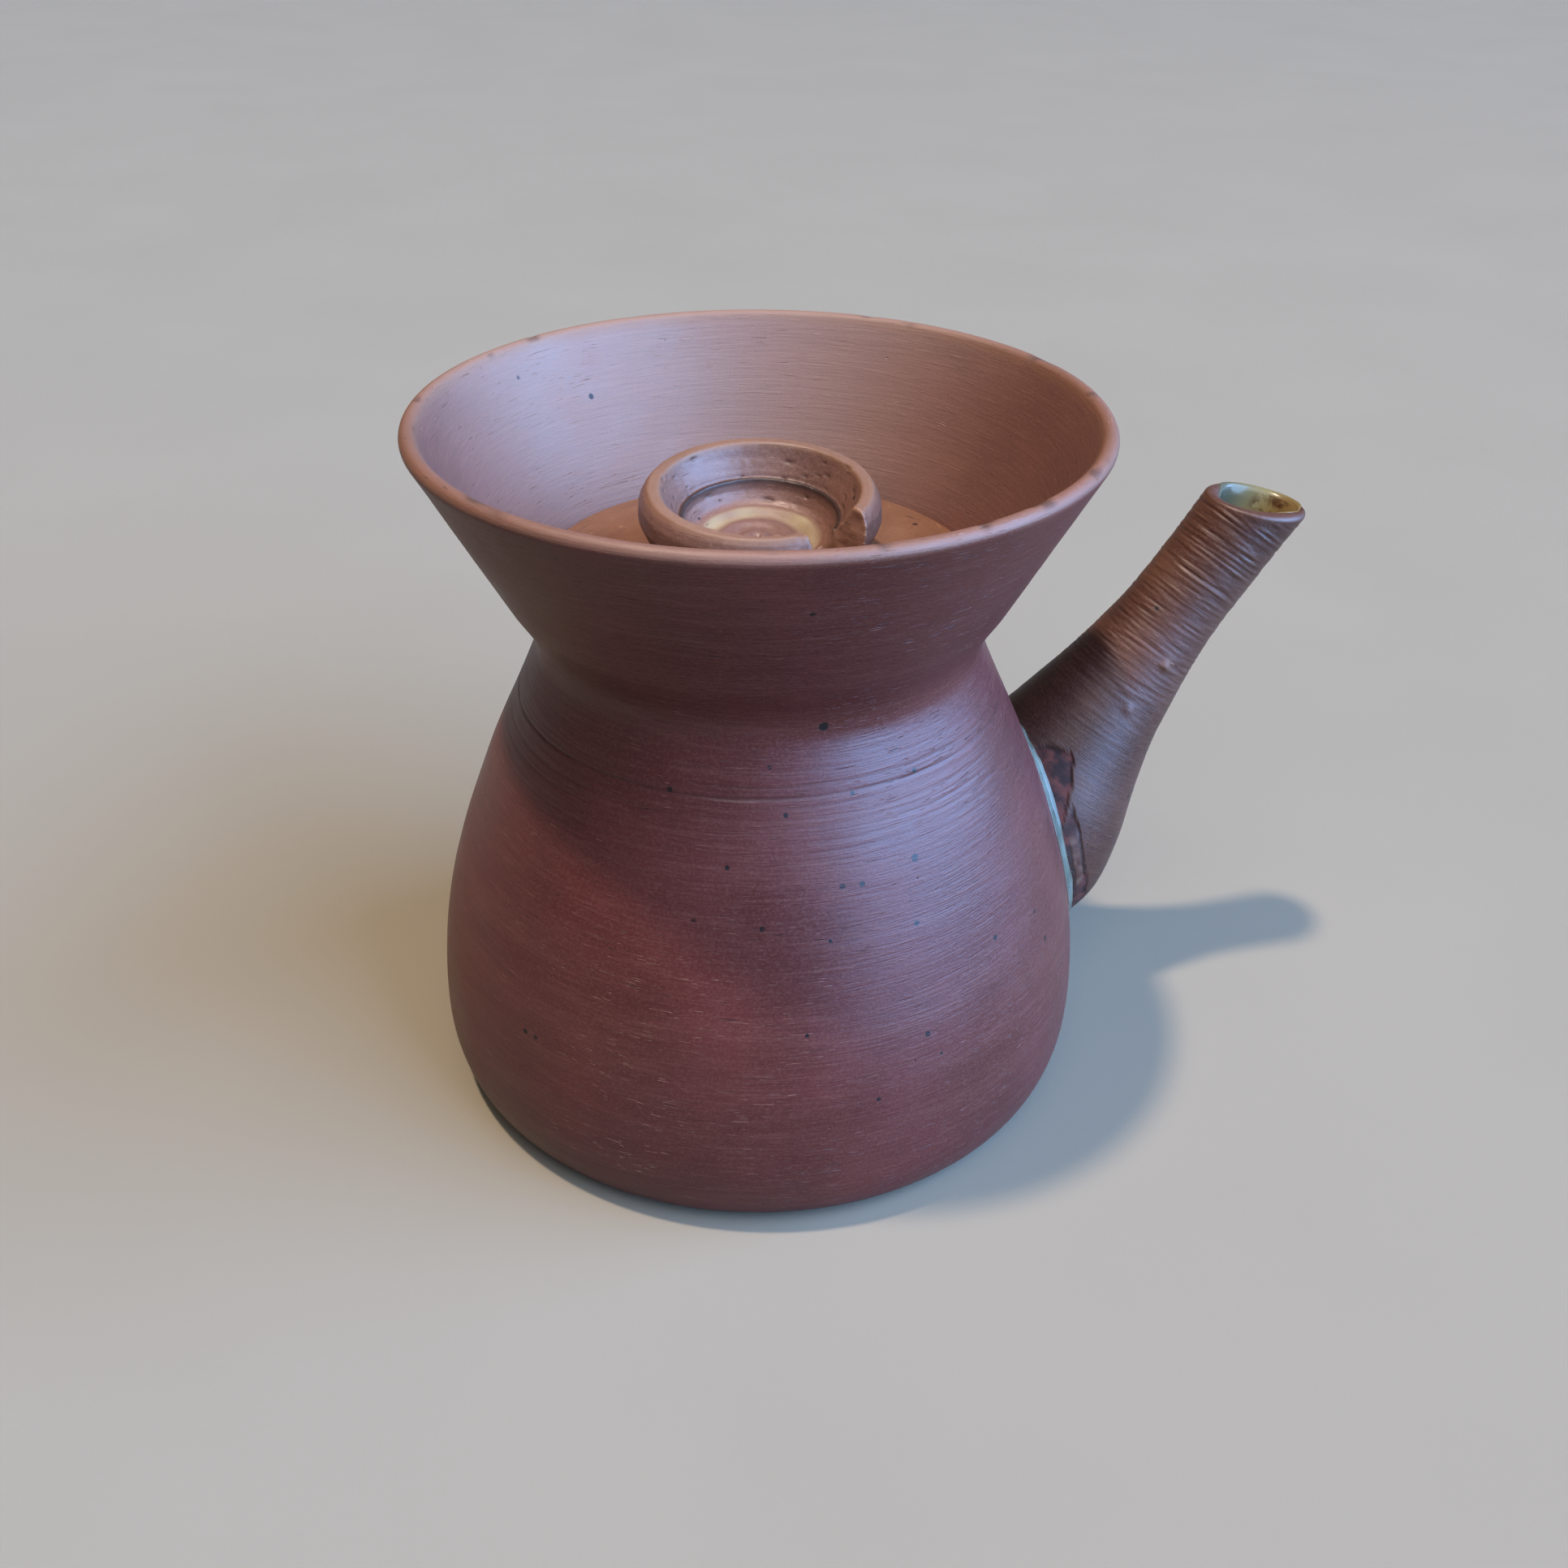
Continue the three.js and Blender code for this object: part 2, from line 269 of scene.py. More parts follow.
class Finish:
    """A procedural material being built: each call adds a node and gives its result."""

    def __init__(self, name):
        self.material = bpy.data.materials.new(name)
        self.material.use_nodes = True
        self.tree = self.material.node_tree
        self.shader = self.tree.nodes["Principled BSDF"]
        self.place = self.add("ShaderNodeTexCoord", "Object")

    def add(self, kind, output, inputs=None, **settings):
        node = self.tree.nodes.new(kind)
        for key, value in settings.items():
            setattr(node, key, value)
        for key, value in (inputs or {}).items():
            self.feed(node.inputs[key], value)
        return node.outputs[output]

    def feed(self, socket, value):
        if isinstance(value, bpy.types.NodeSocket):
            self.tree.links.new(value, socket)
        else:
            socket.default_value = value

    def fed(self, name):
        """What feeds one of the shader's sockets so far."""
        return self.shader.inputs[name].links[0].from_socket

    def leaned(self, angle):
        """Places turned about Y, so that a leaning axis becomes Z."""
        return self.add("ShaderNodeMapping", 0, {"Vector": self.place, "Rotation": (0, -angle, 0)})

    def stretched(self, place, cell, height):
        """Places in cells of a width and a height in millimetres."""
        scale = (1 / (cell * MM), 1 / (cell * MM), 1 / (height * MM))
        return self.add("ShaderNodeMapping", 0, {"Vector": place, "Scale": scale})

    def noise(self, place, detail=2.0, roughness=0.5):
        inputs = {"Vector": place, "Scale": 1.0, "Detail": detail, "Roughness": roughness}
        return self.add("ShaderNodeTexNoise", 0, inputs)

    def between(self, value, low, high, out_low=0.0, out_high=1.0):
        inputs = {"Value": value, "From Min": low, "From Max": high, "To Min": out_low, "To Max": out_high}
        return self.add("ShaderNodeMapRange", 0, inputs, interpolation_type="SMOOTHSTEP")

    def combine(self, kind, a, b):
        return self.add("ShaderNodeMath", 0, {0: a, 1: b}, operation=kind)

    def mix(self, share, a, b):
        return self.add("ShaderNodeMix", 2, {0: share, 6: a, 7: b}, data_type="RGBA")

    def paint(self, name):
        return self.add("ShaderNodeAttribute", 2, attribute_name=name)

    def spots(self, place, radius, chance):
        """1 within round spots of up to a radius, which a share of the cells have: the chance."""
        cells = self.tree.nodes.new("ShaderNodeTexVoronoi")
        self.feed(cells.inputs["Vector"], place)
        cells.inputs["Scale"].default_value = 1.0
        pick = self.add("ShaderNodeSeparateColor", 0, {0: cells.outputs["Color"]})
        size = self.between(pick, 1 - chance, 1.0, 0.0, radius)
        ratio = self.combine("DIVIDE", cells.outputs["Distance"], self.combine("ADD", size, 0.0001))
        return self.between(ratio, 0.75, 1.15, 1.0, 0.0)

    def dots(self, places):
        """1 within ragged round spots, each given as its three coordinates and its radius."""
        ragged = self.noise(self.stretched(self.place, 0.8, 0.8), 1)
        total = 0.0
        for x, y, z, radius in places:
            inputs = {0: self.place, 1: (x * MM, y * MM, z * MM)}
            far = self.add("ShaderNodeVectorMath", 1, inputs, operation="DISTANCE")
            near = self.between(far, radius * 0.75 * MM, radius * 1.1 * MM, 1.3, 0.0)
            spot = self.combine("MULTIPLY", near, self.between(ragged, 0.2, 0.45, 0.3, 1.0))
            total = self.combine("MAXIMUM", total, spot)
        return self.combine("MINIMUM", total, 1.0)

    def bump(self, height, depth, normal=None):
        """Relief of a depth in millimetres, on top of the normal from the relief before it."""
        inputs = {"Height": height, "Distance": depth * MM, "Strength": 1.0}
        if normal:
            inputs["Normal"] = normal
        return self.add("ShaderNodeBump", 0, inputs)


def clay(name, dark, plain, light, roughness, lines=1.0, lean=0.0):
    """Bare fired stoneware: trimming lines round its axis, dragged grit with painted highlight, pits and iron
    specks.

    lines is how strong the trimming lines are, and lean is how far the axis leans towards +X.
    The paints for the paler funnel inside with its painted sheen, for wear, and for painted shade in hollows
    count as 0 on a mesh that has none.
    """
    f = Finish(name)
    place = f.leaned(lean)
    bands = f.noise(f.stretched(place, 70, 6), 3)
    clouds = f.noise(f.stretched(place, 18, 18), 4)
    patches = f.between(f.noise(f.stretched(place, 14, 9), 2), 0.35, 0.62)
    streaks = f.noise(f.stretched(place, 10, 0.55), 3, 0.6)
    hairs = f.noise(f.stretched(place, 7, 0.23), 2, 0.6)
    grain = f.noise(f.stretched(place, 0.5, 0.4), 3, 0.65)
    drags_and_glints = f.between(f.noise(f.stretched(place, 3.4, 0.24), 1), 0.69, 0.76)
    drags_and_glints = f.combine("MULTIPLY", drags_and_glints, patches)
    gaps = f.between(f.noise(f.stretched(place, 4.4, 0.26), 1), 0.71, 0.78)
    gaps = f.combine("MULTIPLY", gaps, patches)
    specks = f.spots(f.stretched(place, 8, 8), 0.075, 0.5)
    pits = f.spots(f.stretched(place, 3.0, 3.0), 0.08, 0.16)

    tone = f.mix(f.between(clouds, 0.3, 0.72, 0.3, 0.9), colour(dark), colour(plain))
    tone = f.mix(f.between(bands, 0.4, 0.75, 0.0, 0.08), tone, colour(light))
    tone = f.mix(f.between(grain, 0.4, 0.75, 0.0, 0.22), tone, colour(light))
    tone = f.mix(f.between(streaks, 0.45, 0.8, 0.0, 0.16 * lines), tone, colour(light))
    tone = f.mix(f.between(hairs, 0.47, 0.27, 0.0, 0.38 * lines), tone, colour(dark))
    # The raised grit lines painted lighter: partly lighter grit, partly painted highlight where they catch
    # the light.
    tone = f.mix(f.combine("MULTIPLY", drags_and_glints, 0.6), tone, colour(light))
    tone = f.mix(f.combine("MULTIPLY", gaps, 0.6 * lines), tone, colour("1c1010"))
    # Paler clay inside the funnel, plus a painted sheen where this paint grows towards the back wall.
    tone = f.mix(f.paint("pale_and_sheen"), tone, colour("958070"))
    tone = f.mix(f.paint("worn"), tone, colour("78583f"))
    # Painted shade: darkens grooves, chips, pits and other hollows.
    tone = f.mix(f.paint("painted_shade"), tone, colour("1f1210"))
    tone = f.mix(f.combine("MULTIPLY", specks, 0.9), tone, colour("140d0e"))
    f.feed(f.shader.inputs["Base Color"], tone)

    sheen = f.between(clouds, 0.25, 0.75, roughness - 0.05, roughness + 0.06)
    sheen = f.combine("ADD", sheen, f.between(grain, 0.3, 0.7, -0.03, 0.05))
    sheen = f.combine("ADD", sheen, f.combine("MULTIPLY", f.paint("worn"), 0.3))
    sheen = f.combine("ADD", sheen, f.combine("MULTIPLY", f.paint("pale_and_sheen"), 0.45))
    f.feed(f.shader.inputs["Roughness"], sheen)
    f.shader.inputs["Specular IOR Level"].default_value = 0.5

    relief = f.bump(streaks, 0.06 * lines)
    relief = f.bump(hairs, 0.045 * lines, relief)
    relief = f.bump(grain, 0.03, relief)
    relief = f.bump(drags_and_glints, 0.08, relief)
    relief = f.bump(f.combine("SUBTRACT", 1.0, f.combine("MAXIMUM", gaps, pits)), 0.1, relief)
    f.feed(f.shader.inputs["Normal"], relief)
    return f


def glaze(name, base, roughness=0.08, lumps=0.05, coat=0.6, gloss=0.5):
    """Glossy fired glaze, with a skin that is not quite flat and fine bubbles."""
    f = Finish(name)
    waves = f.noise(f.stretched(f.place, 4, 4), 2)
    bubbles = f.spots(f.stretched(f.place, 1.1, 1.1), 0.14, 0.3)
    tone = f.mix(f.combine("MULTIPLY", bubbles, 0.15), base(f), colour("a9b3a8"))
    f.feed(f.shader.inputs["Base Color"], tone)
    f.shader.inputs["Roughness"].default_value = roughness
    f.shader.inputs["Specular IOR Level"].default_value = gloss
    f.shader.inputs["Coat Weight"].default_value = coat
    f.shader.inputs["Coat Roughness"].default_value = 0.04
    relief = f.bump(waves, lumps)
    f.feed(f.shader.inputs["Normal"], f.bump(bubbles, 0.015, relief))
    return f.material


def celadon_tone(f):
    thick = f.between(f.noise(f.stretched(f.place, 6, 6), 3), 0.3, 0.7)
    tone = f.mix(thick, colour("4b5048"), colour("60655c"))
    return f.mix(f.paint("thin"), tone, colour("5c4438"))


def liner_tone(f):
    streaks = f.between(f.noise(f.stretched(f.place, 5, 18), 3), 0.3, 0.7)
    return f.mix(streaks, colour("6f7a66"), colour("8c9a80"))


def spout_lining_tone(f):
    blotches = f.between(f.noise(f.stretched(f.place, 2.2, 2.2), 3), 0.4, 0.62)
    # The glaze's green, amber and rust, painted darker as shade inside the tube; the dark grey where green is
    # low, on the overhanging upper wall, is painted shade.
    tone = f.mix(f.paint("green"), colour("3c413f"), colour("6c6446"))
    tone = f.mix(f.paint("amber"), tone, colour("5d3f1a"))
    rust = f.combine("MULTIPLY", f.paint("iron"), blotches)
    return f.mix(rust, tone, colour("351a0e"))


def spout_clay():
    """Darker clay, with a bare reddish patch and a smear of thin glaze beside the joint."""
    f = clay("spout clay", "301a15", "4a2c22", "7c5844", 0.48, 0.7, math.pi / 2 - SPOUT_TILT)
    tone = f.fed("Base Color")
    mottle = f.between(f.noise(f.stretched(f.place, 2.4, 2.4), 3), 0.35, 0.65)
    bare = f.mix(mottle, colour("28110d"), colour("562a21"))
    smear = f.mix(mottle, colour("43261f"), colour("5b4236"))
    tone = f.mix(f.paint("bare"), tone, bare)
    tone = f.mix(f.paint("smear"), tone, smear)
    f.feed(f.shader.inputs["Base Color"], tone)
    rougher = f.combine("MULTIPLY", f.paint("bare"), 0.3)
    f.feed(f.shader.inputs["Roughness"], f.combine("ADD", f.fed("Roughness"), rougher))
    return f.material


# ---- the pot ----


def pot_profile():
    """The pot's outline from the middle of its base, up the outside, over the lip and down inside."""
    foot = [(0, 0), (25, 0), (50, 0)]
    outside = smooth_line(POT_OUTSIDE)
    lip = arc(LIP_CENTRE, LIP_RADIUS, -FUNNEL_LEAN, 180 - FUNNEL_LEAN, 21)
    # Its points are closer on the shoulder, where the grooves are.
    outside = respaced(np.vstack([outside, lip[:1]]), lambda p: 0.28 if 65 < p[1] < 83 else 0.62)
    funnel = smooth_line([lip[-1], (44.6, 104.4), (37.6, 92.6), (36.9, SEAT_HEIGHT + 0.3)])
    funnel = respaced(funnel, lambda p: 0.6)
    seat = [(36.6, SEAT_HEIGHT), (34.8, SEAT_HEIGHT), (33.5, SEAT_HEIGHT), (33.2, SEAT_HEIGHT - 0.3)]
    inside = respaced(smooth_line(POT_INSIDE), lambda p: 3.0)
    return np.vstack([foot, outside, lip[1:-1], funnel, seat, inside, FLOOR_MIDDLE])


# The turning grooves on the shoulder: height, depth and half of the width.
GROOVES = [
    (79.4, 0.04, 0.2), (77.2, 0.08, 0.22), (76.4, 0.05, 0.2), (75.6, 0.17, 0.22),
    (74.2, 0.05, 0.2), (72.6, 0.08, 0.25), (71.5, 0.04, 0.2), (70.6, 0.06, 0.22),
    (69.2, 0.04, 0.2), (67.7, 0.05, 0.2), (66.3, 0.03, 0.2),
]


def shoulder_grooves(points):
    """How deep the turning grooves on the shoulder are, in millimetres."""
    height = points[..., 2] + 0.5 * cloud(points, 40, 11)
    depth = 0
    for place, most, width in GROOVES:
        broken = np.clip(0.75 + 0.6 * cloud(points, (14, 14, 40), round(place * 10)), 0, 1)
        depth = depth + most * broken * np.exp(-(((height - place) / width) ** 2))
    return depth


def make_pot():
    rows, normals = turned(pot_profile(), 264)
    height = rows[..., 2]
    radius = np.hypot(rows[..., 0], rows[..., 1])
    wide = (radius > 38) & (height > 1)
    swells = 0.06 * cloud(rows, (60, 60, 9), 1) + 0.02 * cloud(rows, (40, 40, 2.4), 2)
    grooves = shoulder_grooves(rows) * wide
    above_base = fade(height, 0.5, 6)
    rows = rows + normals * (swells * above_base - grooves)[..., None]
    lip = fade(height + 0.35 * cloud(rows, (9, 9, 9), 4), POT_HEIGHT - 2.3, POT_HEIGHT - 0.7)
    chips = fade(cloud(rows, (4, 4, 4), 5), 0.5, 0.7) * fade(height, POT_HEIGHT - 1.2, POT_HEIGHT)
    funnel = fade(height, SEAT_HEIGHT + 1, SEAT_HEIGHT + 4) * (normals[..., 2] > 0)
    paints = {
        "worn": lip * 0.3,
        # Paler clay inside the funnel, plus a painted sheen that grows towards the back wall (+Y).
        "pale_and_sheen": funnel * (0.15 + 0.2 * fade(rows[..., 1], 0, 45)),
        "blush": joint_blush(rows),
        # Painted shade in the shoulder grooves and in the chips on the lip.
        "painted_shade": np.clip(grooves * 2.6, 0, 0.75) + 0.5 * chips,
    }
    pot = grid_mesh("pot_body_clay", rows - normals * (0.12 * chips)[..., None], paints=paints)
    cut(pot, hole_cutter())
    finish_piece(pot, pot_clay(), "pot", "pot_body")


# The large iron specks: angle from the spout in degrees, height and radius.
IRON_SPECKS = [
    (-92.3, 86.4, 0.85), (-75.5, 64.0, 0.7), (-87.4, 62.4, 0.5), (-71, 76.3, 0.45), (-86.9, 75.6, 0.4),
    (-77.6, 54.3, 0.5), (-60.6, 45.8, 0.5), (-78.3, 35.9, 0.5), (-47.2, 43.9, 0.4), (-94.4, 54.7, 0.35),
    (-87.7, 26.7, 0.4), (-104.8, 80.5, 0.4), (-101.6, 73.6, 0.4), (-113.2, 66.1, 0.4), (-106.5, 57.2, 0.45),
    (-149.3, 30.4, 0.5), (-99.2, 40.2, 0.35), (140, 42, 0.6), (75, 58, 0.5), (20, 88, 0.5), (100, 25, 0.5),
]
# The one inside the funnel: its place and radius.
FUNNEL_SPECK = (-18.7, 45.6, 112.3, 0.7)


def pot_clay():
    """The pot's clay, with its large iron specks and the stain round the joint with the spout."""
    f = clay("pot clay", "401c1a", "512320", "7d564b", 0.4)
    specks = [FUNNEL_SPECK]
    for degrees, height, size in IRON_SPECKS:
        angle, radius = math.radians(degrees), pot_radius(height)[0]
        specks.append((radius * math.cos(angle), radius * math.sin(angle), height, size))
    tone = f.fed("Base Color")
    tone = f.mix(f.paint("blush"), tone, colour("6a3a38"))
    f.feed(f.shader.inputs["Base Color"], f.mix(f.dots(specks), tone, colour("120d10")))
    return f.material


def joint_blush(rows):
    """How near points are to the joint with the spout, where the glaze has stained the clay."""
    angle = np.linspace(0, TAU, 120, endpoint=False)
    start = seam(angle)
    line = spout_place(angle, start, spout_radius(start))
    blush = np.zeros(rows.shape[:2])
    near = np.nonzero((rows[..., 0] > 30) & (rows[..., 2] < 75))
    gaps = np.linalg.norm(rows[near][:, None] - line, axis=2).min(axis=1)
    blush[near] = fade(8 + 2 * cloud(rows[near], 5, 63) - gaps, 0, 5)
    return 0.6 * blush


def hole_cutter():
    """A round bar through the wall behind the spout."""
    half_length = 25
    angle = np.linspace(0, TAU, 48, endpoint=False)
    ring = np.stack([0 * angle, HOLE_RADIUS * np.cos(angle), HOLE_RADIUS * np.sin(angle)], axis=1)
    near = np.array([SPOUT_ROOT[0] - half_length, 0, HOLE_HEIGHT])
    far = np.array([SPOUT_ROOT[0] + half_length, 0, HOLE_HEIGHT])
    rows = [0 * ring + near, ring + near, ring + far, 0 * ring + far]
    return grid_mesh("hole_cutter", np.array(rows))


def make_body_lining():
    outer = respaced(smooth_line(POT_INSIDE), lambda p: 1.5)
    outer = np.vstack([outer, FLOOR_MIDDLE])
    step = np.gradient(outer, axis=0)
    step /= np.linalg.norm(step, axis=1, keepdims=True)
    inner = outer + LINER_THICKNESS * np.stack([step[:, 1], -step[:, 0]], axis=1)
    inner[-1, 0] = 0
    rows, normals = turned(np.vstack([outer[::-1], inner]), 160)
    ripple = 0.05 * cloud(rows, (9, 9, 4), 21)
    lining = grid_mesh("body_glaze_lining_skin", rows + normals * ripple[..., None])
    cut(lining, hole_cutter())
    finish_piece(lining, glaze("liner glaze", liner_tone, 0.12), "pot", "body_glaze_lining")


# ---- the spout ----


def pot_radius(height):
    """The pot's outside radius at a height, and how fast it grows with height."""
    line = smooth_line(POT_OUTSIDE)
    radius = np.interp(height, line[:, 1], line[:, 0])
    slope = (np.interp(height + 0.2, line[:, 1], line[:, 0]) - radius) / 0.2
    return radius, slope


def spout_radius(along):
    line = smooth_line(SPOUT_OUTLINE)
    return np.interp(along, line[:, 0], line[:, 1])


def spout_place(angle, along, radius):
    """A point of the spout: angle runs from its upper side, and towards +Y; along is from its root."""
    share = np.maximum(0, 1 - along / SAG_END)
    down = SPOUT_SAG * share**2 - radius * np.cos(angle)
    side = (radius * np.sin(angle))[..., None] * np.array([0, 1, 0])
    return SPOUT_ROOT + down[..., None] * SPOUT_UNDER + side + along[..., None] * SPOUT_ALONG


def solve(test, low, high, shape):
    """Where test, which grows with its value, passes zero between low and high."""
    low, high = np.full(shape, float(low)), np.full(shape, float(high))
    for _ in range(40):
        middle = (low + high) / 2
        above = test(middle) > 0
        low, high = np.where(above, low, middle), np.where(above, middle, high)
    return (low + high) / 2


def seam(angle, inset=0.0, lift=0.0):
    """How far along the spout its surface leaves the pot, at each angle.

    inset is how far inside the spout's surface this is, and lift is how far outside the pot's.
    """

    def outside_pot(along):
        point = spout_place(angle, along, spout_radius(along) - inset)
        return np.hypot(point[..., 0], point[..., 1]) - pot_radius(point[..., 2])[0] - lift

    return solve(outside_pot, -18, 45, angle.shape)


def mouth(angle):
    """How far along the spout the slanting cut of its mouth is, at each angle."""
    facing = np.array([math.sin(MOUTH_TILT), 0, math.cos(MOUTH_TILT)])
    middle = SPOUT_ROOT + SPOUT_LENGTH * SPOUT_ALONG

    def beyond_cut(along):
        return (spout_place(angle, along, spout_radius(along)) - middle) @ facing

    return solve(beyond_cut, 50, 82, angle.shape)


def wall(angle, along):
    """The spout's wall: near the mouth it grows thicker on the near upper side, and thin opposite."""
    thick_side, extra, thinnest = math.radians(-35), 2.0, 1.3
    lopsided = extra * np.cos(angle - thick_side) * fade(along, 50, 74)
    return np.maximum(SPOUT_WALL + lopsided, thinnest)


def spout_lip(angle, end, turn):
    """Distance along the spout and radius on its rounded lip: turn is 0 outside and pi inside."""
    along = end - SPOUT_LIP + SPOUT_LIP * np.sin(turn)
    radius = spout_radius(along) - wall(angle, end) * (1 - np.cos(turn)) / 2
    return along, radius


def throwing_rings(local):
    """How far the rough rings of the thrown tube stand out. local is in the spout's own axes."""
    along = local[..., 2]
    wobble = along + 0.5 * cloud(local, (9, 9, 6), 31)
    rings = np.abs(np.sin(math.pi * wobble / RING_PITCH)) ** 0.7 - 0.6
    broken = np.clip(0.5 + 0.9 * cloud(local, (5, 5, 2.5), 32), 0, 1.2)
    rough = cloud(local, (5, 5, 0.5), 33) + 0.5 * cloud(local, (2.4, 2.4, 0.45), 34)
    lumps = 0.12 * cloud(local, (9, 9, 9), 35)
    strength = fade(along, 22, 38) * (0.75 + 0.25 * fade(along, 50, 70))
    return strength * (0.13 * rings * broken + 0.075 * rough) + lumps + 0.02 * rough


def bead(local, angle, along, radius, height):
    """A small bump or dent on the spout at an angle in degrees and a distance along it."""
    middle = np.array([0, 0, along]) + spout_radius(along) * np.array(
        [-math.cos(math.radians(angle)), math.sin(math.radians(angle)), 0]
    )
    far = np.linalg.norm(local - middle, axis=-1)
    return height * np.exp(-((far / radius) ** 2))


def make_spout():
    """The thrown tube: outside from the joint to the mouth, over its lip, and back down inside."""
    angle = np.linspace(0, TAU, 220, endpoint=False)[None]
    sunk = -0.15
    start, end = seam(angle, lift=sunk), mouth(angle)
    share = np.linspace(0, 1, 330)[:, None]
    along = start + (end - SPOUT_LIP - start) * share
    radius = spout_radius(along)
    local = np.stack([-radius * np.cos(angle), radius * np.sin(angle), along], axis=-1)
    relief = throwing_rings(local) * fade(end - along, 0.8, 2.5)
    relief += bead(local, -84, 41.3, 1.0, 0.5) + bead(local, -75, 31, 0.9, 0.25)
    since = along - start
    bare, smear, edge = joint_marks(angle, since, local)
    relief -= 0.25 * bare + 0.08 * smear + 0.15 * edge
    outer = spout_place(angle, along, radius + relief)

    turn = np.linspace(0, math.pi, 12)[1:-1, None]
    lip = spout_place(angle, *spout_lip(angle, end, turn))

    inner_start = seam(angle, SPOUT_WALL, lift=sunk)
    share = np.linspace(0, 1, 60)[:, None]
    inner_along = end - SPOUT_LIP + (inner_start - end + SPOUT_LIP) * share
    inner = spout_place(angle, inner_along, spout_radius(inner_along) - wall(angle, inner_along))

    rows = np.vstack([outer, lip, inner])
    spare = ((0, len(rows) - len(outer)), (0, 0))
    # Painted shade in the hollows between the throwing rings and along the smear's sunk edge.
    groove_shade = np.clip(-relief * 2.4 - 0.12, 0, 0.7) * (1 - np.clip(bare + smear, 0, 1)) + 0.5 * edge
    ridge = np.clip(relief * 1.3, 0, 0.2) * fade(along, 25, 45)
    worn = np.pad(ridge, spare)
    worn[len(outer) - 4 : len(outer) + len(lip)] = 0.05
    paints = {"bare": bare, "smear": smear, "painted_shade": groove_shade}
    paints = {name: np.pad(values, spare) for name, values in paints.items()}
    paints["worn"] = worn
    spout = grid_mesh("spout_clay_tube", rows, closed=True, paints=paints)
    finish_piece(spout, spout_clay(), "pot", "spout", 60)


def joint_marks(angle, since, local):
    """The bare reddish patch, the smear of thin glaze and its sunk edge, beside the joint; the edge also gets
    painted shade.

    since is the distance from the joint, and local is in the spout's own axes.
    """
    degrees = np.degrees(np.where(angle > math.pi, angle - TAU, angle))
    ragged = 0.8 * cloud(local, 2.4, 41) + 0.5 * cloud(local, 1.1, 42)
    lobe = fade(degrees, -84, -58) * fade(-degrees, 22, 62)
    bare = fade(1.4 + 8 * lobe + ragged - since, 0, 0.5) * fade(lobe, 0.02, 0.3)
    flame = fade(degrees, -136, -127) * fade(-degrees, 103, 109)
    flame += fade(degrees, -87, -82) * fade(-degrees, 72, 78)
    bare = np.maximum(bare, 0.9 * flame * fade(7.4 + ragged - since, 0, 0.7))
    strip = fade(degrees, -112, -105) * fade(-degrees, 80, 86)
    smear = fade(6.6 + 0.5 * ragged - since, 0, 0.4) * fade(since - 3.6 - 0.4 * ragged, 0, 0.5) * strip
    edge = fade(7.5 + 0.6 * ragged - since, 0, 0.4) * strip * (1 - smear)
    return np.clip(bare, 0, 1), smear, edge


def make_spout_lining():
    """The glaze inside the spout, which runs over part of its lip."""
    angle = np.linspace(0, TAU, 160, endpoint=False)[None]
    end = mouth(angle)
    start = seam(angle, SPOUT_WALL, lift=0.1)
    wander = cloud(np.stack([np.cos(angle), np.sin(angle), 0 * angle], axis=-1), 0.5, 51)
    cover = 0.2 + 0.6 * fade(-np.cos(angle + math.radians(55)), 0.1, 0.8) + 0.12 * wander

    share = np.linspace(0, 1, 56)[:, None]
    along = start + (end - SPOUT_LIP - start) * share
    radius = spout_radius(along) - wall(angle, along)
    turn = math.pi * (1 - cover * np.linspace(0, 1, 14)[1:, None])
    lip_along, lip_radius = spout_lip(angle, end, turn)
    back = np.vstack([spout_place(angle, along, radius), spout_place(angle, lip_along, lip_radius)])

    skin = SPOUT_GLAZE * (0.8 + 0.25 * cloud(back[: len(along)], 5, 52))
    front_tube = spout_place(angle, along, radius - skin)
    film = 0.3 * np.sqrt(np.clip(1 - np.linspace(0, 1, 13)[:, None] ** 3, 0, 1)) + 0.02
    front_lip = spout_place(angle, lip_along + film * np.sin(turn), lip_radius + film * np.cos(turn))
    rows = np.vstack([back, front_lip[::-1], front_tube[::-1]])

    depth = np.vstack([end - along, 0 * turn])
    depth = np.vstack([depth, depth[::-1]])
    degrees = np.degrees(angle)
    # Green is low on the upper wall, which overhangs: the dark grey left there is painted shade.
    green = (0.25 + 0.75 * fade(degrees, 60, 150)) * fade(-degrees, -350, -300) * fade(-depth, -26, -6)
    amber = 0.55 * fade(degrees, 130, 170) * fade(-degrees, -290, -230) * fade(-depth, -9, -2)
    iron = fade(degrees, 118, 135) * fade(-degrees, -190, -165)
    iron = iron * fade(-depth, -6.5, -3) * fade(depth, 0.4, 1.4)
    paints = {"green": green, "amber": amber, "iron": iron}
    lining = grid_mesh("spout_glaze_skin", rows, closed=True, paints=paints)
    material = glaze("spout glaze", spout_lining_tone, 0.24, 0.05, 0.1, 0.25)
    finish_piece(lining, material, "pot", "spout_glaze_lining", 70)


def seam_directions(line):
    """The pot's outward normal along the joint's line, and the way from the spout over the pot."""
    line_angle = np.arctan2(line[:, 1], line[:, 0])
    slope = pot_radius(line[:, 2])[1]
    normal = np.stack([np.cos(line_angle), np.sin(line_angle), -slope], axis=1)
    normal /= np.linalg.norm(normal, axis=1, keepdims=True)
    run = np.roll(line, -1, axis=0) - np.roll(line, 1, axis=0)
    away = np.cross(normal, run)
    away /= np.linalg.norm(away, axis=1, keepdims=True)
    away *= np.sign(np.sum(away * (line - line.mean(axis=0)), axis=1))[:, None]
    return normal, away


